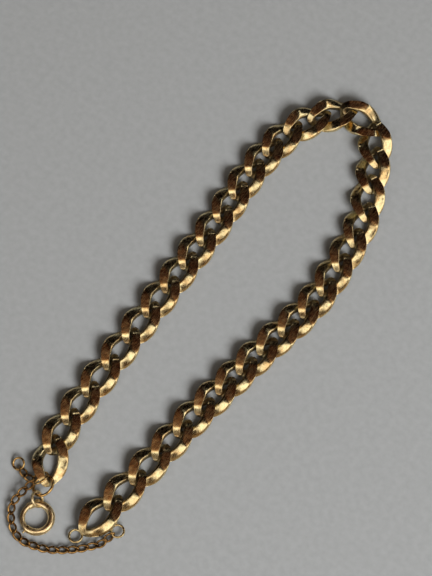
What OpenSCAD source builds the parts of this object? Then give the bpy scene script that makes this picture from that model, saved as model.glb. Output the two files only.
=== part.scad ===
// A bracelet of flat curb links in yellow gold, lying on a surface with its clasp open.
// The links run from the clasp up one arm, round the bend and down the other arm.

/* [Main links] */
// Number of main links
link_count = 34; // [28:1:34]
// Length of a link over its two ends
link_l = 9.9; // [9.5:0.1:10.3]
// Width of a link
link_w = 6.5; // [6:0.1:7.2]
// Thickness of the finished chain, after its faces are filed
link_t = 1.9; // [1.7:0.05:2.1]
// Width of the wire along the sides of a link
strap_w = 2; // [1.7:0.05:2.05]
// Height of the wire along the sides, before filing
strap_h = 1.2; // [1:0.05:1.3]
// Width of the wire at the two worn ends of a link
link_end_w = 1.5; // [1.3:0.05:1.6]
// Height of the wire at the two ends of a link
link_end_h = 1.1; // [0.9:0.05:1.2]
// Twist from the middle of a link to each end, in degrees
link_twist = 54; // [50:1:58]
// Distance from a link's two tips at which its ends start to slope
link_slope_from = 2.4; // [2.2:0.05:2.6]
// Slope to which the ends are filed, in degrees
link_slope = 27; // [15:1:32]

/* [Bolt ring] */
// Outer diameter of the bolt ring
bolt_od = 6.4; // [6:0.1:7]
// Outer diameter of the tube that it is bent from
bolt_tube_d = 1.3; // [1.2:0.05:1.4]
// Bore of the tube, in which the trigger runs
bolt_bore_d = 1.02; // [0.98:0.02:1.06]
// Diameter of the trigger's tongue
tongue_d = 0.92; // [0.8:0.02:0.94]
// Width of the slot for the trigger's knob
slot_w = 0.5; // [0.46:0.02:0.6]
// Diameter of the knob's stem
knob_d = 0.38; // [0.3:0.02:0.4]
// How far the knob stands out of the tube
knob_out = 0.45; // [0.4:0.05:0.6]
// Gap that the trigger closes, as an angle round the ring
gap_deg = 96; // [80:2:100]
// Angle through which the trigger slides back
slide_deg = 88; // [60:2:90]
// Outer diameter of the eye soldered to the tube
eye_od = 3.2; // [3:0.1:3.6]
// Wire of the eye
eye_wire = 0.5; // [0.4:0.05:0.6]
// Lean of the eye from upright, in degrees
eye_lean = 38; // [30:1:45]

/* [Rings] */
// Outer diameter of the ring between the bolt ring and the chain
clasp_ring_od = 4.4; // [4.2:0.1:5]
// Wire of that ring
clasp_ring_wire = 0.5; // [0.4:0.05:0.6]
// Outer diameter of the ring that the safety chain hangs on
guard_ring_od = 3.4; // [3.2:0.1:3.8]
// Wire of that ring
guard_ring_wire = 0.4; // [0.35:0.05:0.5]
// Outer diameter of the end ring, soldered to the last link
end_ring_od = 2.7; // [2.4:0.1:3.2]
// Wire of the end ring
end_ring_wire = 0.45; // [0.4:0.05:0.55]
// Outer diameter of the loop for the safety chain, soldered to the last link
loop_od = 2.6; // [2.4:0.1:3]
// Wire of that loop
loop_wire = 0.4; // [0.35:0.05:0.5]
// Outer diameter of the small ring at the safety chain's free end
tail_ring_od = 2.5; // [2.3:0.1:2.9]
// Wire of that ring
tail_ring_wire = 0.4; // [0.35:0.05:0.45]

/* [Safety chain] */
// Length of a link of the safety chain
fine_l = 2.6; // [2.5:0.05:2.8]
// Width of such a link
fine_w = 1.5; // [1.45:0.05:1.6]
// Wire of the safety chain
fine_wire = 0.24; // [0.2:0.02:0.28]
// Twist from the middle of such a link to each end, in degrees
fine_twist = 56; // [50:1:62]

/* [Hidden] */
// Running gap between pieces that hang in one another
play = 0.1;
// Slack between the links of the safety chain, which lie loosely
fine_slack = 0.44;
// Share of the wire's width that its flat top takes, along the sides and at the ends
strap_flat = 0.75;
end_flat = 0.55;
// Direction in which the ends slope, from the length of the link
slope_turn = 37;
// Sides round a link and round its wire
link_sides = 16;
fine_sides = 12;
// Steps between two points of a safety chain's path
path_steps = 8;
// Smoothness of the round tubes and rings
$fn = 48;

gold = "#c69a4a";
gold_pale = "#d9b468";

// Lay of the main chain: link number, and the x and y of its middle, as it lies.
// The points are those of a chain with this pitch when pulled straight.
laid_pitch = 6.8;
// Shift that brings the middle of the outline over the origin
lay_shift = [-0.8, -0.5];
route = [
    [1, -7.4, -37],
    [2, -9.1, -31.5],
    [4, -9.8, -19.1],
    [7, -10.2, -0.6],
    [10, -10.6, 16.5],
    [12, -11.3, 27.6],
    [13, -11.3, 33.1],
    [14, -10.7, 38.2],
    [15, -8.8, 43.6],
    [16, -5.9, 47.8],
    [17, -0.8, 49.9],
    [18, 4.1, 47.1],
    [19, 6.7, 42.7],
    [20, 9.1, 37.5],
    [21, 11.1, 32.4],
    [24, 12.9, 15.9],
    [27, 10.6, 0.3],
    [30, 8.3, -15.6],
    [32, 7.2, -27.3],
    [33, 6.5, -33.6],
    [34, 5.8, -39.7]
];
// Links that lie otherwise than the chain runs: link number, turn, roll and lift.
// The links at the bend lean and lift a little where they turn sharply in one another.
odd_links = [
    [1, 117, 0, 0.05],
    [2, 96, 0, 0.1],
    [14, 82, 0, 0.05],
    [15, 62, 2, 0.2],
    [16, 49, 0, 0.05],
    [17, -4, 3, 0.35],
    [18, -54, 3, 0.6],
    [19, -65, 6, 0.3],
    [20, -62, 2, 0.15],
    [34, -99, 2, 0.15]
];
// Lay of the safety chain past the end ring: x and y from the end ring's middle, and height
pass_route = [
    [4.3, 1.3, 0.6],
    [3.3, 0.1, 0.6],
    [2, -1.35, 0.6]
];
// Its lay round the bolt ring, as far as the guard ring: angle round the bolt ring, distance
// outside the knob's path, and height
guard_route = [
    [-12, 4.1, 0.6],
    [-30, 2.6, 0.6],
    [-54, 1.5, 0.6],
    [-87, 1.1, 0.6],
    [-119, 0.85, 0.6],
    [-152, 0.95, 0.6],
    [-176, 1.35, 0.8],
    [-196, 1.5, 1.2]
];
// Lay of its free end: x and y from where it hangs on the guard ring, and height
tail_route = [
    [-1.08, -0.43, 0.9],
    [-2.18, 0.07, 0.7]
];
// Where the two ends hang on the guard ring, as angles round it
guard_hang = [-4, -46];
// Roll of the fine links at the first and last end of each length
guard_rolls = [-30, 20];
tail_rolls = [2, 12];

link_pitch = link_l - 2 * link_end_w - play;
lay = link_pitch / laid_pitch;
fine_pitch = fine_l - 2 * fine_wire - fine_slack;
fine_section = [fine_wire, fine_wire, end_flat];
bolt_r = (bolt_od - bolt_tube_d) / 2;

function link_name(i) = str("link_", i < 10 ? "0" : "", i);
function unit(v) = v / norm(v);
function mix(a, b, k) = a + (b - a) * k;
function heading(v) = atan2(v[1], v[0]);
function toward(a) = [cos(a), sin(a), 0];
function flat(v) = [v[0], v[1], 0];

// Smooth path through rows that start with a link number
function row_at(r, n, k = 0) = k >= len(r) - 2 || r[k + 1][0] > n ? k : row_at(r, n, k + 1);
function row_xy(r, k) = [r[k][1], r[k][2]];
function row_slope(r, k) =
    let (a = max(k - 1, 0), b = min(k + 1, len(r) - 1))
    (row_xy(r, b) - row_xy(r, a)) / (r[b][0] - r[a][0]);
function hermite(p, q, u, v, t) =
    p * (2 * t * t * t - 3 * t * t + 1) + u * (t * t * t - 2 * t * t + t)
    + q * (3 * t * t - 2 * t * t * t) + v * (t * t * t - t * t);
function along(r, n) =
    let (k = row_at(r, n), h = r[k + 1][0] - r[k][0], t = (n - r[k][0]) / h)
    hermite(row_xy(r, k), row_xy(r, k + 1), row_slope(r, k) * h, row_slope(r, k + 1) * h, t);

// Place of a main link: middle, turn about the upright, and roll about its own length
function run_turn(n) = heading(along(route, min(n + 0.5, link_count)) - along(route, max(n - 0.5, 1)));
function odd(n) =
    let (found = [for (o = odd_links) if (o[0] == n) o])
    len(found) > 0 ? found[0] : [n, run_turn(n), 0, 0];
function link_mid(n) = let (p = lay * (along(route, n) + lay_shift)) [p[0], p[1], link_t / 2 + odd(n)[3]];
function link_turn(n) = odd(n)[1];
function link_roll(n) = odd(n)[2];
function turned(p, a) = [p[0] * cos(a) - p[1] * sin(a), p[0] * sin(a) + p[1] * cos(a), p[2]];
function rolled(p, a) = [p[0], p[1] * cos(a) - p[2] * sin(a), p[1] * sin(a) + p[2] * cos(a)];
function on_link(n, p) = link_mid(n) + turned(rolled(p, link_roll(n)), link_turn(n));

// One curb link: an oval of six-sided wire, twisted about its length. A wire is given by its
// width, height and flat share, and sides and ends differ.
function wire_section(wire) =
    let (w = wire[0] / 2, h = wire[1] / 2, e = w * wire[2])
    [[w, 0], [e, h], [-e, h], [-w, 0], [-e, -h], [e, -h]];
function curb_ring(l, w, side, end, twist, t) =
    let (a = (l - end[0]) / 2, b = (w - side[0]) / 2, out = unit([b * cos(t), a * sin(t)]))
    [for (s = wire_section(mix(side, end, pow(abs(cos(t)), 3))))
        let (x = a * cos(t) + s[0] * out[0], y = b * sin(t) + s[0] * out[1])
        rolled([x, y, s[1]], -twist * x / a)];
function curb_points(l, w, side, end, twist, sides) =
    [for (i = [0:sides - 1]) each curb_ring(l, w, side, end, twist, i * 360 / sides)];
function curb_faces(sides, m, first) =
    [for (i = [0:sides - 1], j = [0:m - 1])
        let (a = i * m, b = ((i + 1) % sides) * m, k = (j + 1) % m)
        each [[first + a + j, first + a + k, first + b + k],
            [first + a + j, first + b + k, first + b + j]]];

// A main link is filed flat above and below, and its ends slope away from that
function filed_to(p) =
    let (from_middle = abs(p[0] * cos(slope_turn) + sign(p[2]) * p[1] * sin(slope_turn)))
    link_t / 2 - tan(link_slope) * max(0, from_middle - (link_l / 2 - link_slope_from));
function filed(p) = [p[0], p[1], sign(p[2]) * min(abs(p[2]), filed_to(p))];

module main_link(n) {
    points = [for (p = curb_points(link_l, link_w, [strap_w, strap_h, strap_flat],
        [link_end_w, link_end_h, end_flat], link_twist, link_sides)) filed(p)];
    color(gold) translate(link_mid(n)) rotate([0, 0, link_turn(n)]) rotate([link_roll(n), 0, 0])
        polyhedron(points, curb_faces(link_sides, 6, 0), convexity = 6);
}

// A round ring of wire, lying flat
module wire_ring(od, wire) {
    rotate_extrude() translate([(od - wire) / 2, 0]) circle(d = wire);
}

// A ring that leans: its middle, its turn about the upright, and its lean about its own axis
module laid_ring(mid, turn, lean, od, wire) {
    translate(mid) rotate([0, 0, turn]) rotate([lean, 0, 0]) wire_ring(od, wire);
}
function on_ring(mid, turn, lean, r, a) =
    mid + r * turned([cos(a), sin(a) * cos(lean), sin(a) * sin(lean)], turn);

// Last link, with the end ring and the loop that are soldered to it
last_turn = link_turn(link_count);
solder_drop = 0.4;
end_ring_turn = last_turn - 30;
end_ring_mid = on_link(link_count, [link_l / 2, 0, 0])
    + toward(end_ring_turn) * (end_ring_od / 2 - end_ring_wire) - [0, 0, solder_drop];
loop_turn = last_turn + 93;
loop_r = (loop_od - loop_wire) / 2;
loop_mid = on_link(link_count, [0, link_w / 2, 0])
    + toward(loop_turn) * (loop_od / 2 - loop_wire) - [0, 0, solder_drop];

module last_link() {
    main_link(link_count);
    color(gold) {
        translate(end_ring_mid) wire_ring(end_ring_od, end_ring_wire);
        translate(loop_mid) wire_ring(loop_od, loop_wire);
    }
}

// The clasp ring and the guard ring both hang on the far end of the first link
tip_turn = link_turn(1) + 180;
tip = on_link(1, [-link_l / 2, 0, 0]);
function hung(wire, r, turn, shift) =
    tip - toward(tip_turn) * (link_end_w + wire / 2 + play) + toward(turn) * r + shift;
clasp_r = (clasp_ring_od - clasp_ring_wire) / 2;
clasp_turn = -82;
clasp_lean = 28;
clasp_shift = [0.2, 0.2, 0.25];
clasp_mid = hung(clasp_ring_wire, clasp_r, clasp_turn, clasp_shift);
guard_r = (guard_ring_od - guard_ring_wire) / 2;
guard_turn = -110;
guard_lean = 44;
guard_shift = [-0.3, 0.45, 0.6];
guard_mid = hung(guard_ring_wire, guard_r, guard_turn, guard_shift);

module clasp_ring() {
    color(gold) laid_ring(clasp_mid, clasp_turn, clasp_lean, clasp_ring_od, clasp_ring_wire);
}

module guard_ring() {
    color(gold) laid_ring(guard_mid, guard_turn, guard_lean, guard_ring_od, guard_ring_wire);
}

// Bolt ring: a tube with a gap, an eye near one end, and a slot for the knob at the other
eye_turn = 125;
eye_r = (eye_od - eye_wire) / 2;
eye_out = bolt_r + bolt_tube_d / 2;
held_out = eye_out + eye_r - (eye_wire + clasp_ring_wire) / 2 - play;
eye_z = clasp_mid[2] + 2 * play;
bolt_mid = flat(clasp_mid + toward(clasp_turn) * clasp_r - toward(eye_turn) * held_out)
    + [0, 0, bolt_tube_d / 2];
gap_from_eye = 38;
gap_start = eye_turn + gap_from_eye;
gap_end = gap_start + gap_deg;
// The tongue reaches this far into the tube's far end, and the bore stops short of the eye
seat_deg = 8;
seat_play = 2;
plug_from_eye = 30;
plug_turn = eye_turn - plug_from_eye;
tongue_tail = 30;
knob_from_gap = 5;
slot_deg = slide_deg + 14;
knob_turn = gap_end + knob_from_gap;

module bent_tube(from, to, d) {
    rotate([0, 0, from]) rotate_extrude(angle = to - from) translate([bolt_r, 0]) circle(d = d);
}

module bolt_ring() {
    color(gold_pale) translate(bolt_mid) {
        difference() {
            bent_tube(gap_end, gap_start + 360, bolt_tube_d);
            bent_tube(gap_end - 1, plug_turn + 360, bolt_bore_d);
            bent_tube(gap_start - seat_deg, gap_start + 1, bolt_bore_d);
            rotate([0, 0, gap_end - 1]) rotate_extrude(angle = slot_deg)
                translate([bolt_r, -slot_w / 2]) square([bolt_tube_d, slot_w]);
        }
        translate(toward(eye_turn) * eye_out + [0, 0, eye_z - bolt_mid[2]])
            rotate([0, 0, eye_turn]) rotate([90 - eye_lean, 0, 0]) wire_ring(eye_od, eye_wire);
    }
}

module trigger() {
    color(gold) translate(bolt_mid) {
        bent_tube(gap_start - seat_deg + seat_play, gap_end + tongue_tail, tongue_d);
        rotate([0, 0, knob_turn]) translate([bolt_r, 0, 0]) rotate([0, 90, 0])
            cylinder(d = knob_d, h = bolt_tube_d / 2 + knob_out);
    }
}

// Fine links set out along a line of points at even steps
function line_length(p, k = 0) = k >= len(p) - 1 ? 0 : norm(p[k + 1] - p[k]) + line_length(p, k + 1);
function line_at(p, d, k = 0) =
    let (s = norm(p[k + 1] - p[k]))
    d <= s || k >= len(p) - 2 ? p[k] + (p[k + 1] - p[k]) * d / s : line_at(p, d - s, k + 1);
function curve_at(p, k, t) =
    let (n = len(p) - 1, a = p[max(k - 1, 0)], b = p[k], c = p[k + 1], d = p[min(k + 2, n)])
    hermite(b, c, (c - a) / 2, (d - b) / 2, t);
function curved(p, steps) =
    [for (k = [0:len(p) - 2], i = [0:steps - 1]) curve_at(p, k, i / steps), p[len(p) - 1]];
function fine_link_points(mid, dir, roll) =
    let (level = unit([-dir[1], dir[0], 0]), rise = cross(dir, level),
        side = level * cos(roll) + rise * sin(roll), up = cross(dir, side))
    [for (q = curb_points(fine_l, fine_w, fine_section, fine_section, -fine_twist, fine_sides))
        mid + dir * q[0] + side * q[1] + up * q[2]];

module fine_chain(path, roll_from, roll_to) {
    line = curved(path, path_steps);
    total = line_length(line);
    count = max(1, round(total / fine_pitch));
    step = total / count;
    points = [for (i = [0:count])
        let (d = i * step, behind = line_at(line, max(d - step / 2, 0)),
            ahead = line_at(line, min(d + step / 2, total)))
        each fine_link_points(line_at(line, d), unit(ahead - behind), mix(roll_from, roll_to, i / count))];
    faces = [for (i = [0:count]) each curb_faces(fine_sides, 6, i * fine_sides * 6)];
    polyhedron(points, faces, convexity = 10);
}

// Its ends hang in the loop, on the guard ring and in the small tail ring
function hooked(wire) = fine_l / 2 - fine_wire - wire / 2 - 1.5 * play;
function from_point(at, p) = flat(at) + p;
function round_bolt(p) =
    flat(bolt_mid) + toward(p[0]) * (bolt_od / 2 + knob_out + p[1]) + [0, 0, p[2]];
function hang(p, toward_p, wire) = p + unit(toward_p - p) * hooked(wire);
tail_hook = on_ring(guard_mid, guard_turn, guard_lean, guard_r, guard_hang[1]);
tail_ring_r = (tail_ring_od - tail_ring_wire) / 2;
tail_ring_turn = 156;
tail_ring_lean = -25;
tail_end = from_point(tail_hook, tail_route[len(tail_route) - 1]);
tail_ring_mid = flat(tail_end) + toward(tail_ring_turn) * (tail_ring_r + hooked(tail_ring_wire))
    + [0, 0, tail_ring_r * sin(abs(tail_ring_lean)) + tail_ring_wire / 2];

module safety_chain() {
    line = [for (p = pass_route) from_point(end_ring_mid, p), for (p = guard_route) round_bolt(p)];
    from = loop_mid + unit(flat(line[0] - loop_mid)) * loop_r;
    to = on_ring(guard_mid, guard_turn, guard_lean, guard_r, guard_hang[0]);
    first = hang(from, line[0], loop_wire);
    last = hang(to, line[len(line) - 1], guard_ring_wire);
    color(gold) fine_chain([first, each line, last], guard_rolls[0], guard_rolls[1]);
}

module tail_chain() {
    line = [for (p = tail_route) from_point(tail_hook, p)];
    color(gold) fine_chain([hang(tail_hook, line[0], guard_ring_wire), each line],
        tail_rolls[0], tail_rolls[1]);
}

module tail_ring() {
    color(gold) laid_ring(tail_ring_mid, tail_ring_turn, tail_ring_lean, tail_ring_od, tail_ring_wire);
}

bolt_ring();
trigger();
clasp_ring();
guard_ring();
safety_chain();
tail_chain();
tail_ring();
for (i = [1:link_count - 1]) main_link(i);
last_link();
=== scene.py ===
import math

import bmesh
import bpy
import numpy as np
from mathutils import Matrix, Vector


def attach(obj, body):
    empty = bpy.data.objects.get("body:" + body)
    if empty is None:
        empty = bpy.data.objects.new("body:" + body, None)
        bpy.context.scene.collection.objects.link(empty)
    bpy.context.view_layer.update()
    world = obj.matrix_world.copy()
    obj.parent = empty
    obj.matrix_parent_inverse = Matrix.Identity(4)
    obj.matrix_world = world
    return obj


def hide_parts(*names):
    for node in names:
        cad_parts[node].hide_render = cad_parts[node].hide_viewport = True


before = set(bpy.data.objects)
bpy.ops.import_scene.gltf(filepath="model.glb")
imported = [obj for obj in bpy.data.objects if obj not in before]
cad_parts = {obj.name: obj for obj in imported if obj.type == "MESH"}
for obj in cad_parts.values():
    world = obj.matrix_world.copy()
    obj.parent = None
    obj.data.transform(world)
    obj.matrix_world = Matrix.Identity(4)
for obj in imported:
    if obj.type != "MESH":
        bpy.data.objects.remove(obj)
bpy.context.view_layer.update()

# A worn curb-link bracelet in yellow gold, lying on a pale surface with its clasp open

MM = 0.001
BODY = "bracelet"

# Sizes are in millimetres and angles in degrees, where no comment says otherwise.

# Main links over all, and the strap they are bent from, along the sides and at the ends
LINK_L, LINK_W, LINK_T = 9.86, 6.46, 1.9
STRAP_W, STRAP_H = 2.0, 1.2
END_W, END_H = 1.5, 1.1
LINK_TWIST = 54
# How square the strap's section is: 2 is round, and more is squarer
STRAP_POWER, END_POWER = 4, 2.2
# How late towards its ends a link takes their smaller section
END_LATENESS = 3
# How softly the filed faces meet the rest of the strap
FILED_ROUND = 0.09
# The filed faces are a little crowned along the link: how far they fall at 1 mm from the middle
FILED_CROWN = 0.012
# Each end is filed down too: where that starts from the middle, its direction, its first slope,
# the width of that band, and the slope beyond it
END_FILED_FROM, END_FILED_TURN, BAND_SLOPE, BAND_W, TIP_SLOPE = 2.55, 37, 22, 0.55, 33
# Least height of a filed face above the link's middle plane
TIP_MIN_H = 0.1
# Painted shade, darkening the gold inside the oval and at the ends where the next links pass: how deep it
# is on the inside of the oval and at the ends, and the share of the end's section at which the latter
# starts
INSIDE_SHADE, END_SHADE, END_SHADE_FROM = 0.7, 1.1, 0.45
# Lie of the last link, whose soldered rings would pull the middle of its solid off its own
LAST_LINK_MID, LAST_LINK_TURN, LAST_LINK_ROLL = (5.0, -40.2, 1.1), -99, 2

# Rings soldered to the last link: middle, outer diameter and wire
END_RING = ((3.659, -45.789, 0.7), 2.7, 0.45)
CHAIN_LOOP = ((9.103, -40.802, 0.813), 2.6, 0.4)

# Bolt ring, with its angles round the ring's own middle: the gap in the tube, the slot that starts
# at the gap's far end, the tongue and the knob
BOLT_MID = (-3.784, -47.160, 0.65)
BOLT_OD, BOLT_TUBE, BOLT_BORE = 6.4, 1.3, 1.02
TONGUE_D, KNOB_D, KNOB_OUT = 0.92, 0.38, 0.45
GAP_FROM, GAP_TO, SLOT_LEN, SLOT_W = 163, 259, 102, 0.4
TONGUE_FROM, TONGUE_TO, KNOB_AT = 157, 289, 264
# How far the ends of the tongue and the knob's rim are rounded
EDGE_ROUND = 0.06
EYE_TURN, EYE_LEAN, EYE_OD, EYE_WIRE, EYE_Z = 125, 38, 3.2, 0.5, 1.45
# Drop of solder at the eye's foot: its radius, how deep it sits in the tube, how far above the
# tube's middle, and its stretch outwards, round the ring and upwards
SOLDER_R, SOLDER_SUNK, SOLDER_UP, SOLDER_STRETCH = 0.45, 0.15, 0.1, (0.8, 1.25, 0.8)

# Loose rings: outer diameter and wire
LOOSE_RINGS = {"clasp_ring": (4.4, 0.5), "guard_ring": (3.4, 0.4), "tail_ring": (2.5, 0.4)}

# Safety chain, its wire drawn thicker than the real one, which is too thin to show
FINE_L, FINE_W, FINE_WIRE, FINE_TWIST, FINE_ROUND = 2.6, 1.48, 0.4, -56, 0.02

# How finely the forms are made: steps round each one, and sides round its wire
LINK_CUT, FINE_CUT = (150, 48), (36, 12)
SOLDERED_CUT, LOOSE_CUT, EYE_CUT = (48, 16), (64, 20), (56, 18)
# The same for the bent tube and the tongue, with the degrees in a step in place of the steps
TUBE_STEP, TUBE_SIDES = 2, 24
TONGUE_STEP, TONGUE_SIDES = 3, 20
KNOB_SIDES = 20
SOLDER_SIDES, SOLDER_BANDS = 20, 12
# The plain ring that a curb link is bent from. A place in its wire's section runs from -1 to 1.
RAW_R, RAW_WIRE = 10, 2

# Wear of the golds: the size of patches and specks, the size of a scratch across, along and
# upwards, its depth, and the turn of the scratches about Z in radians
PATCH, SPECK = 1.5, 0.4
HAIR_SIZE, HAIR_DEPTH, HAIR_TURN = (0.05, 1.4, 0.4), 0.004, 0.7
CARD_GRAIN = 1.2


def srgb(code):
    """Linear colour of an sRGB hex value."""
    parts = [int(code[i:i + 2], 16) / 255 for i in (1, 3, 5)]
    return [c / 12.92 if c <= 0.04045 else ((c + 0.055) / 1.055) ** 2.4 for c in parts] + [1.0]


def grey(value):
    return (value, value, value, 1.0)


def turn(angle, axis):
    return Matrix.Rotation(math.radians(angle), 4, axis)


def at(x, y, z):
    """Shift to a place in millimetres."""
    return Matrix.Translation(Vector((x, y, z)) * MM)


def toward(azimuth, elevation):
    """Direction of length 1, with azimuth 0 along +X."""
    return turn(azimuth, "Z") @ turn(-elevation, "Y") @ Vector((1, 0, 0))


def finish_piece(bm, name, material, stands_for, body=BODY):
    """Makes the bmesh, already in place, a smooth piece that rides on its body."""
    bmesh.ops.recalc_face_normals(bm, faces=bm.faces)
    mesh = bpy.data.meshes.new(name)
    bm.to_mesh(mesh)
    bm.free()
    mesh.polygons.foreach_set("use_smooth", [True] * len(mesh.polygons))
    mesh.materials.append(material)
    piece = bpy.data.objects.new(name, mesh)
    bpy.context.scene.collection.objects.link(piece)
    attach(piece, body)
    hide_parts(*stands_for)


def wire_ring(bm, radius, wire, steps, sides, angle=360):
    """Fills an empty bmesh with a round wire, spun about Z into a ring or an arc that starts on +X."""
    bmesh.ops.create_circle(bm, segments=sides, radius=wire / 2 * MM)
    stand = Matrix.Translation((radius * MM, 0, 0)) @ turn(90, "X")
    bmesh.ops.transform(bm, matrix=stand, verts=bm.verts)
    bmesh.ops.spin(bm, geom=bm.verts[:] + bm.edges[:], cent=(0, 0, 0), axis=(0, 0, 1),
                   angle=math.radians(angle), steps=steps, use_merge=angle == 360, use_duplicate=False)


def ring_form(od, wire, cut):
    """A round ring about the origin."""
    ring = bmesh.new()
    wire_ring(ring, (od - wire) / 2, wire, *cut)
    return ring


def cap_edges(bm):
    """The edges round a form's flat caps, whose faces have more than four corners."""
    return [e for e in bm.edges if any(len(f.verts) > 4 for f in e.link_faces)]


def past(value, knee):
    """The value where it is above zero and nothing below, with the corner rounded over the knee."""
    # Past this the rounding is too small to count, and exp would run over
    far = 30 * knee
    return value if value > far else knee * math.log1p(math.exp(value / knee))


def tangent(angle):
    return math.tan(math.radians(angle))


def power(value, exponent):
    """The value's size raised to the exponent, with its own sign."""
    return math.copysign(abs(value) ** exponent, value)


def filed_height(x, y, thick, ends_filed, knee):
    """Height of the filed face over the middle plane: crowned, and sloped down in two bands at the ends."""
    start, way, band_slope, band_w, tip_slope = ends_filed
    way, band_fall, tip_fall = math.radians(way), tangent(band_slope), tangent(tip_slope)
    from_middle = abs(x * math.cos(way) + y * math.sin(way))
    fall = FILED_CROWN * from_middle ** 2 + band_fall * past(from_middle - start, knee)
    fall += (tip_fall - band_fall) * past(from_middle - start - band_w, knee)
    return max(thick / 2 - fall, TIP_MIN_H)


def curb_form(length, width, strap, end, powers, twist, filed, ends_filed, knee, cut):
    """One curb link about the origin: a wire oval, twisted along its length and filed flat.
    The layer named recess is 1 deep inside the link and at its ends, where the next links pass, and sets
    how much painted shade the gold gets there."""
    bm = bmesh.new()
    wire_ring(bm, RAW_R, RAW_WIRE, *cut)
    recess = bm.verts.layers.float.new("recess")
    half_l, half_w = (length - end[0]) / 2, (width - strap[0]) / 2
    for v in bm.verts:
        x, y, up = v.co / MM
        out = math.hypot(x, y) - RAW_R
        angle = math.atan2(y, x)
        lengthways, sideways = math.cos(angle), math.sin(angle)
        # Section: its share of the end's size and power, and the place in it
        share = abs(lengthways) ** END_LATENESS
        section_power = powers[0] + (powers[1] - powers[0]) * share
        across = power(out, 2 / section_power)
        tall = power(up, 2 / section_power)
        across *= (strap[0] + (end[0] - strap[0]) * share) / 2
        tall *= (strap[1] + (end[1] - strap[1]) * share) / 2
        # The section set square to the oval
        outwards = Vector((half_w * lengthways, half_l * sideways)).normalized()
        x, y = half_l * lengthways + across * outwards.x, half_w * sideways + across * outwards.y
        # Twist, and the cut of the file
        roll = math.radians(-twist * x / half_l)
        y, z = y * math.cos(roll) - tall * math.sin(roll), y * math.sin(roll) + tall * math.cos(roll)
        face = math.copysign(1, z)
        top = filed_height(x, face * y, filed, ends_filed, knee)
        v.co = Vector((x, y, face * (abs(z) - past(abs(z) - top, knee)))) * MM
        # Share of painted shade: deep inside the oval and at the ends, where the next links pass
        v[recess] = min(1.0, max(0.0, -out) * INSIDE_SHADE + max(0.0, share - END_SHADE_FROM) * END_SHADE)
    return bm


def lie_of(points, areas):
    """Middle and axes, longest first, of a surface given by its triangles' middles and areas."""
    weights = areas / areas.sum()
    middle = (points * weights[:, None]).sum(0)
    spread = points - middle
    axes = np.linalg.eigh((spread * weights[:, None]).T @ spread)[1]
    long, thin = Vector(axes[:, 2]), Vector(axes[:, 0])
    if thin.z < 0:
        thin.negate()
    wide = thin.cross(long)
    turned = Matrix((long, wide, thin)).transposed().to_4x4()
    return Matrix.Translation(Vector(middle)) @ turned


def triangles_of(obj, island=None):
    """Middles and areas of a node's triangles, or of those of one of its loose solids."""
    mesh = obj.data
    mesh.calc_loop_triangles()
    chosen = [t for t in mesh.loop_triangles if island is None or t.vertices[0] in island]
    middles = np.array([t.center for t in chosen], float)
    areas = np.array([t.area for t in chosen], float)
    return middles, areas


def islands_of(obj):
    """The loose solids of a node, each as the set of its vertex numbers."""
    places_per_metre = 1e7
    bm = bmesh.new()
    bm.from_mesh(obj.data)
    first = {}
    group = list(range(len(bm.verts)))

    def root(i):
        while group[i] != i:
            group[i] = group[group[i]]
            i = group[i]
        return i

    for v in bm.verts:
        key = tuple(round(c * places_per_metre) for c in v.co)
        group[root(v.index)] = root(first.setdefault(key, v.index))
    for e in bm.edges:
        group[root(e.verts[0].index)] = root(e.verts[1].index)
    sets = {}
    for i in range(len(bm.verts)):
        sets.setdefault(root(i), set()).add(i)
    bm.free()
    return list(sets.values())


def joined(forms):
    """One bmesh from pairs of a bmesh and the matrix that places it."""
    whole = bmesh.new()
    for form, place in forms:
        part = form.copy()
        part.transform(place)
        scratch = bpy.data.meshes.new("part")
        part.to_mesh(scratch)
        part.free()
        whole.from_mesh(scratch)
        bpy.data.meshes.remove(scratch)
    return whole


def add_node(tree, kind, settings=None, stops=(), **links):
    """Adds a shader node with its settings, and a ramp's stops as pairs of position and colour.
    Its inputs are set or linked by their name, or by their number after an underscore."""
    made = tree.nodes.new(kind)
    for key, value in (settings or {}).items():
        setattr(made, key, value)
    if stops:
        rows = made.color_ramp.elements
        while len(rows) < len(stops):
            rows.new(0.5)
        for row, (position, colour) in zip(rows, stops):
            row.position = position
            row.color = colour
    for key, value in links.items():
        socket = made.inputs[int(key[1:])] if key[1:].isdigit() else made.inputs[key.replace("_", " ")]
        if isinstance(value, bpy.types.NodeSocket):
            tree.links.new(value, socket)
        else:
            socket.default_value = value
    return made


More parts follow.
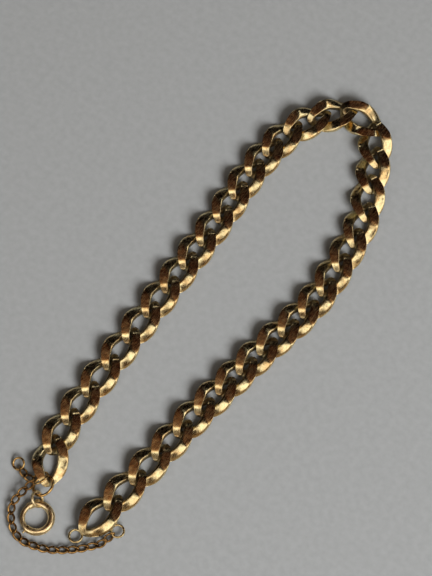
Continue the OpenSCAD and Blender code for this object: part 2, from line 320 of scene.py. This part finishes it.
def worn_gold(name, bright, warm, dirt_and_shade_colour, rough, dent_mm, dent_depth, recess=False):
    """Nine carat yellow gold, polished when new and then worn.
    The eye sees a pale yellow metal whose mirror is broken by shallow dents and hair scratches,
    redder where the polish is rubbed thin and brown in specks of dirt, with painted shade in the recesses
    if asked."""
    material = bpy.data.materials.new(name)
    material.use_nodes = True
    tree = material.node_tree
    shader = tree.nodes["Principled BSDF"]
    shader.inputs["Metallic"].default_value = 1.0
    place = add_node(tree, "ShaderNodeTexCoord").outputs["Object"]
    # Uneven colour from casting and wear
    patches = add_node(tree, "ShaderNodeTexNoise", Vector=place, Scale=1 / (PATCH * MM), Detail=3.0,
                       Roughness=0.6).outputs[0]
    rubbed = add_node(tree, "ShaderNodeValToRGB", _0=patches,
                      stops=((0.42, grey(0)), (0.66, grey(0.7)))).outputs[0]
    tone = add_node(tree, "ShaderNodeMix", {"data_type": "RGBA"}, Factor=rubbed,
                    _6=srgb(bright), _7=srgb(warm)).outputs[2]
    # Dirt and tarnish held in specks, and painted shade in the recesses where the next links pass
    specks = add_node(tree, "ShaderNodeTexNoise", Vector=place, Scale=1 / (SPECK * MM), Detail=4.0,
                      Roughness=0.65).outputs[0]
    dirt_and_shade = add_node(tree, "ShaderNodeValToRGB", _0=specks,
                    stops=((0.52, grey(0)), (0.72, grey(0.35)))).outputs[0]
    # Painted shade from the recess layer: darker inside the oval and at the link ends
    if recess:
        recess_shade = add_node(tree, "ShaderNodeAttribute", {"attribute_name": "recess"}).outputs["Fac"]
        recess_shade = add_node(tree, "ShaderNodeValToRGB", _0=recess_shade,
                        stops=((0.25, grey(0)), (0.9, grey(0.6)))).outputs[0]
        dirt_and_shade = add_node(tree, "ShaderNodeMath", {"operation": "ADD", "use_clamp": True},
                        _0=dirt_and_shade, _1=recess_shade).outputs[0]
    colour = add_node(tree, "ShaderNodeMix", {"data_type": "RGBA"}, Factor=dirt_and_shade,
                      _6=tone, _7=srgb(dirt_and_shade_colour)).outputs[2]
    tree.links.new(colour, shader.inputs["Base Color"])
    # Hair scratches drawn out along one way, coarser than real ones so that they show
    hairs = add_node(tree, "ShaderNodeMapping", Vector=place, Rotation=(0, 0, HAIR_TURN),
                     Scale=[1 / (size * MM) for size in HAIR_SIZE]).outputs[0]
    scratches = add_node(tree, "ShaderNodeTexNoise", Vector=hairs, Scale=1.0, Detail=2.0).outputs[0]
    gloss = add_node(tree, "ShaderNodeValToRGB", _0=scratches,
                     stops=((0.35, grey(rough * 0.7)), (0.65, grey(rough * 1.5)))).outputs[0]
    dull = add_node(tree, "ShaderNodeMath", {"operation": "MULTIPLY_ADD"}, _0=dirt_and_shade, _1=0.3,
                    _2=gloss).outputs[0]
    tree.links.new(dull, shader.inputs["Roughness"])
    # Shallow dents from years of knocks
    dents = add_node(tree, "ShaderNodeTexNoise", Vector=place, Scale=1 / (dent_mm * MM), Detail=2.5,
                     Roughness=0.5).outputs[0]
    relief = add_node(tree, "ShaderNodeBump", Height=dents, Strength=1.0,
                      Distance=dent_depth * MM).outputs[0]
    fine = add_node(tree, "ShaderNodeBump", Height=scratches, Strength=0.5, Distance=HAIR_DEPTH * MM,
                    Normal=relief).outputs[0]
    tree.links.new(fine, shader.inputs["Normal"])
    return material


# Camera at the photograph's angle: its distance from the middle of the view, how wide a pixel is
# there, the middle itself, and how far the view is turned and raised
PICTURE_W, SENSOR_W = 432, 36
DISTANCE, PIXEL_W = 420, 0.182
VIEW_MID = (-4.09, 6.49, 0)
VIEW_TURN, VIEW_RISE = math.radians(36), math.radians(68)

away = Vector((-math.sin(VIEW_TURN), math.cos(VIEW_TURN), 0))
sight = (away * math.cos(VIEW_RISE) - Vector((0, 0, 1)) * math.sin(VIEW_RISE)) * (DISTANCE * MM)
camera_data = bpy.data.cameras.new("camera")
camera_data.sensor_fit = "HORIZONTAL"
camera_data.sensor_width = SENSOR_W
camera_data.lens = DISTANCE / PIXEL_W * SENSOR_W / PICTURE_W
camera_data.clip_start = 0.01
camera_data.clip_end = 10
camera = bpy.data.objects.new("camera", camera_data)
camera.location = Vector(VIEW_MID) * MM - sight
camera.rotation_euler = sight.to_track_quat("-Z", "Y").to_euler()
bpy.context.scene.collection.objects.link(camera)
bpy.context.scene.camera = camera

# Filed and polished links: bright dented flats, with specks of dark brown dirt and painted dark brown shade
# in the recesses
link_gold = worn_gold("filed_curb_gold", bright="#f4e7bc", warm="#dfb982", dirt_and_shade_colour="#3a1608",
                      rough=0.2, dent_mm=1.1, dent_depth=0.05, recess=True)
# Drawn tube of the clasp: paler and smoother, with a broad soft gleam
clasp_gold = worn_gold("drawn_tube_gold", bright="#fff0c8", warm="#f8dcac", dirt_and_shade_colour="#86583a",
                       rough=0.27, dent_mm=0.9, dent_depth=0.01)
# Round wire of the loose rings: a thin bright line on a deeper yellow
ring_gold = worn_gold("round_wire_gold", bright="#efd29a", warm="#d8a667", dirt_and_shade_colour="#46291a",
                      rough=0.16, dent_mm=0.6, dent_depth=0.01)
# Fine wire of the safety chain: small glints on colours darkened as painted shade for the shaded card round
# it, with dirt specks and painted shade in its recesses
fine_gold = worn_gold("fine_wire_gold", bright="#cdaa74", warm="#5e3c24", dirt_and_shade_colour="#120703",
                      rough=0.11, dent_mm=0.3, dent_depth=0.02, recess=True)

# Main links, each laid over its own solid
link_form = curb_form(LINK_L, LINK_W, (STRAP_W, STRAP_H), (END_W, END_H), (STRAP_POWER, END_POWER),
                      LINK_TWIST, filed=LINK_T,
                      ends_filed=(END_FILED_FROM, END_FILED_TURN, BAND_SLOPE, BAND_W, TIP_SLOPE),
                      knee=FILED_ROUND, cut=LINK_CUT)
links = sorted(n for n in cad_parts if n.startswith("link_"))
for name in links[:-1]:
    lie = lie_of(*triangles_of(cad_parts[name]))
    finish_piece(joined([(link_form, lie)]), "curb_" + name, link_gold, stands_for=[name])

# Last link with the two rings that are soldered to it
last_lie = at(*LAST_LINK_MID) @ turn(LAST_LINK_TURN, "Z") @ turn(LAST_LINK_ROLL, "X")
end_ring = ring_form(*END_RING[1:], SOLDERED_CUT)
chain_loop = ring_form(*CHAIN_LOOP[1:], SOLDERED_CUT)
last = joined([(link_form, last_lie), (end_ring, at(*END_RING[0])), (chain_loop, at(*CHAIN_LOOP[0]))])
finish_piece(last, "curb_" + links[-1], link_gold, stands_for=[links[-1]])
for form in (link_form, end_ring, chain_loop):
    form.free()

# Loose rings
for name, (od, wire) in LOOSE_RINGS.items():
    ring = ring_form(od, wire, LOOSE_CUT)
    ring.transform(lie_of(*triangles_of(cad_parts[name])))
    finish_piece(ring, "round_" + name, ring_gold, stands_for=[name])

# Fine curb links of the safety chain and its free end, of round wire. Their ends aren't filed: the
# slope would start beyond them.
fine_form = curb_form(FINE_L, FINE_W, (FINE_WIRE, FINE_WIRE), (FINE_WIRE, FINE_WIRE), (2, 2),
                      FINE_TWIST, filed=FINE_W, ends_filed=(FINE_L, 0, 0, 0, 0),
                      knee=FINE_ROUND, cut=FINE_CUT)
for name in ("safety_chain", "tail_chain"):
    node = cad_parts[name]
    places = [lie_of(*triangles_of(node, island)) for island in islands_of(node)]
    finish_piece(joined([(fine_form, p) for p in places]), "fine_" + name, fine_gold,
                 stands_for=[name])
fine_form.free()

# Bolt ring: a bent tube with a slot for the knob
tube_r = (BOLT_OD - BOLT_TUBE) / 2
tube = bmesh.new()
arc = 360 - (GAP_TO - GAP_FROM)
wire_ring(tube, tube_r, BOLT_TUBE, arc // TUBE_STEP, TUBE_SIDES, arc)
slot_faces = []
for face in tube.faces:
    c = face.calc_center_median() / MM
    around = math.degrees(math.atan2(c.y, c.x)) % 360
    if around < SLOT_LEN and math.hypot(c.x, c.y) > tube_r and abs(c.z) < SLOT_W / 2:
        slot_faces.append(face)
bmesh.ops.delete(tube, geom=slot_faces, context="FACES")
bmesh.ops.recalc_face_normals(tube, faces=tube.faces)
bmesh.ops.solidify(tube, geom=tube.faces[:], thickness=(BOLT_TUBE - BOLT_BORE) / 2 * MM)
tube_lie = at(*BOLT_MID) @ turn(GAP_TO, "Z")

# Its eye, and the drop of solder at the eye's foot
eye = ring_form(EYE_OD, EYE_WIRE, EYE_CUT)
eye_way = Vector((math.cos(math.radians(EYE_TURN)), math.sin(math.radians(EYE_TURN)), 0))
eye_mid = Vector(BOLT_MID) + eye_way * (tube_r + BOLT_TUBE / 2)
eye_lie = at(eye_mid.x, eye_mid.y, EYE_Z) @ turn(EYE_TURN, "Z") @ turn(90 - EYE_LEAN, "X")
solder = bmesh.new()
bmesh.ops.create_uvsphere(solder, u_segments=SOLDER_SIDES, v_segments=SOLDER_BANDS, radius=SOLDER_R * MM)
solder_foot = Vector((tube_r + BOLT_TUBE / 2 - SOLDER_SUNK, 0, SOLDER_UP))
solder_mid = Vector(BOLT_MID) + turn(EYE_TURN, "Z") @ solder_foot
solder_lie = at(*solder_mid) @ turn(EYE_TURN, "Z") @ Matrix.Diagonal((*SOLDER_STRETCH, 1))
clasp = joined([(tube, tube_lie), (eye, eye_lie), (solder, solder_lie)])
for form in (tube, eye, solder):
    form.free()
finish_piece(clasp, "bent_bolt_ring", clasp_gold, stands_for=["bolt_ring"])

# Trigger: the tongue that closes the gap, with its knob
tongue = bmesh.new()
tongue_arc = TONGUE_TO - TONGUE_FROM
wire_ring(tongue, tube_r, TONGUE_D, tongue_arc // TONGUE_STEP, TONGUE_SIDES, tongue_arc)
bmesh.ops.holes_fill(tongue, edges=[e for e in tongue.edges if e.is_boundary], sides=0)
bmesh.ops.bevel(tongue, geom=cap_edges(tongue), offset=EDGE_ROUND * MM, segments=2, profile=0.5,
                affect="EDGES", material=-1)
tongue_lie = at(*BOLT_MID) @ turn(TONGUE_FROM, "Z")
knob_l = BOLT_TUBE / 2 + KNOB_OUT
knob = bmesh.new()
bmesh.ops.create_cone(knob, cap_ends=True, segments=KNOB_SIDES, radius1=KNOB_D / 2 * MM,
                      radius2=KNOB_D / 2 * MM, depth=knob_l * MM)
rim = [e for e in cap_edges(knob) if all(v.co.z > 0 for v in e.verts)]
bmesh.ops.bevel(knob, geom=rim, offset=EDGE_ROUND * MM, segments=3, profile=0.5,
                affect="EDGES", material=-1)
knob_lie = at(*BOLT_MID) @ (turn(KNOB_AT, "Z") @ at(tube_r + knob_l / 2, 0, 0) @ turn(90, "Y"))
slide = joined([(tongue, tongue_lie), (knob, knob_lie)])
for form in (tongue, knob):
    form.free()
finish_piece(slide, "sliding_trigger", clasp_gold, stands_for=["trigger"], body="trigger")

# Pale plain floor of matt card: an even light grey with the faintest grain. Half its width is in metres.
FLOOR_HALF = 2.0

floor_mesh = bpy.data.meshes.new("floor")
floor_form = bmesh.new()
bmesh.ops.create_grid(floor_form, x_segments=1, y_segments=1, size=FLOOR_HALF)
floor_form.to_mesh(floor_mesh)
floor_form.free()
floor = bpy.data.objects.new("floor", floor_mesh)
bpy.context.scene.collection.objects.link(floor)
paper = bpy.data.materials.new("matt_card")
paper.use_nodes = True
card = paper.node_tree.nodes["Principled BSDF"]
card.inputs["Roughness"].default_value = 0.9
card.inputs["Specular IOR Level"].default_value = 0.2
grain_at = add_node(paper.node_tree, "ShaderNodeTexCoord").outputs["Object"]
grain = add_node(paper.node_tree, "ShaderNodeTexNoise", Vector=grain_at, Scale=1 / (CARD_GRAIN * MM),
                 Detail=3.0).outputs[0]
card_grey = add_node(paper.node_tree, "ShaderNodeValToRGB", _0=grain,
                     stops=((0.3, srgb("#7d7f80")), (0.7, srgb("#828485")))).outputs[0]
paper.node_tree.links.new(card_grey, card.inputs["Base Color"])
floor_mesh.materials.append(paper)

# The studio that the gold mirrors: a dark warm room, and soft patches laid over it one by one. Each
# row has the azimuth and elevation of a patch's middle, its strength and colour, and its share at
# each of a few cosines of the angle from its middle.
ROOM_DARK = "#080201"
ROOM_PATCHES = (
    # Brown haze overhead, with a paler glow straight up
    (0, 90, 1, "#381406", ((0.87, 0), (0.945, 1))),
    (0, 90, 1, "#b8957a", ((0.95, 0), (0.975, 0.5), (0.995, 0.9))),
    # Broad low wall on the near right
    (-40, 8, 1, "#8c7860", ((0.05, 0), (0.75, 1))),
    # Windows and panels
    (140, 32, 1.4, "#fff8ee", ((0.985, 0), (0.997, 1))),
    (-100, 40, 1.25, "#fff8ee", ((0.90, 0), (0.96, 1))),
    (-48, 66, 1.35, "#fff8ee", ((0.955, 0), (0.985, 1))),
    (-48, 82, 1.2, "#f6e6cc", ((0.978, 0), (0.997, 1))),
    (64, 40, 1.5, "#fff8ee", ((0.968, 0), (0.988, 1))),
    (2, 38, 1.35, "#fff8ee", ((0.84, 0), (0.94, 1))),
    # Dark screen between the windows of the near side
    (-52, 40, 1, "#3a2a20", ((0.965, 0), (0.985, 1))),
)

world = bpy.data.worlds.new("studio")
bpy.context.scene.world = world
world.use_nodes = True
sky = world.node_tree
facing = add_node(sky, "ShaderNodeTexCoord").outputs["Generated"]
room = srgb(ROOM_DARK)
for azimuth, elevation, strength, code, shares in ROOM_PATCHES:
    cosine = add_node(sky, "ShaderNodeVectorMath", {"operation": "DOT_PRODUCT"}, _0=facing,
                      _1=toward(azimuth, elevation)[:]).outputs["Value"]
    share = add_node(sky, "ShaderNodeValToRGB", _0=cosine,
                     stops=[(place, grey(value)) for place, value in shares]).outputs[0]
    light = [c * strength for c in srgb(code)[:3]] + [1]
    room = add_node(sky, "ShaderNodeMix", {"data_type": "RGBA"}, Factor=share, _6=room,
                    _7=light).outputs[2]
sky.links.new(room, sky.nodes["Background"].inputs["Color"])
sky.nodes["Background"].inputs["Strength"].default_value = 1.0

# Key light that lights the card and throws the shadows, in metres and watts. The gold doesn't mirror
# it, because the patches above already stand for the windows.
KEY_AZIMUTH, KEY_ELEVATION, KEY_AWAY = -22, 36, 1.2
KEY_W, KEY_H, KEY_WATTS = 0.6, 0.5, 31

key_data = bpy.data.lights.new("window_panel", "AREA")
key_data.shape = "RECTANGLE"
key_data.size = KEY_W
key_data.size_y = KEY_H
key_data.energy = KEY_WATTS
key = bpy.data.objects.new("window_panel", key_data)
key_way = toward(KEY_AZIMUTH, KEY_ELEVATION) * KEY_AWAY
key.location = key_way
key.rotation_euler = (-key_way).to_track_quat("-Z", "Y").to_euler()
key.visible_glossy = False
bpy.context.scene.collection.objects.link(key)

# A steep tone curve keeps the gold's darks deep and brown
bpy.context.scene.view_settings.view_transform = "Standard"
bpy.context.scene.view_settings.gamma = 0.84
bpy.context.scene.view_settings.exposure = 0.2
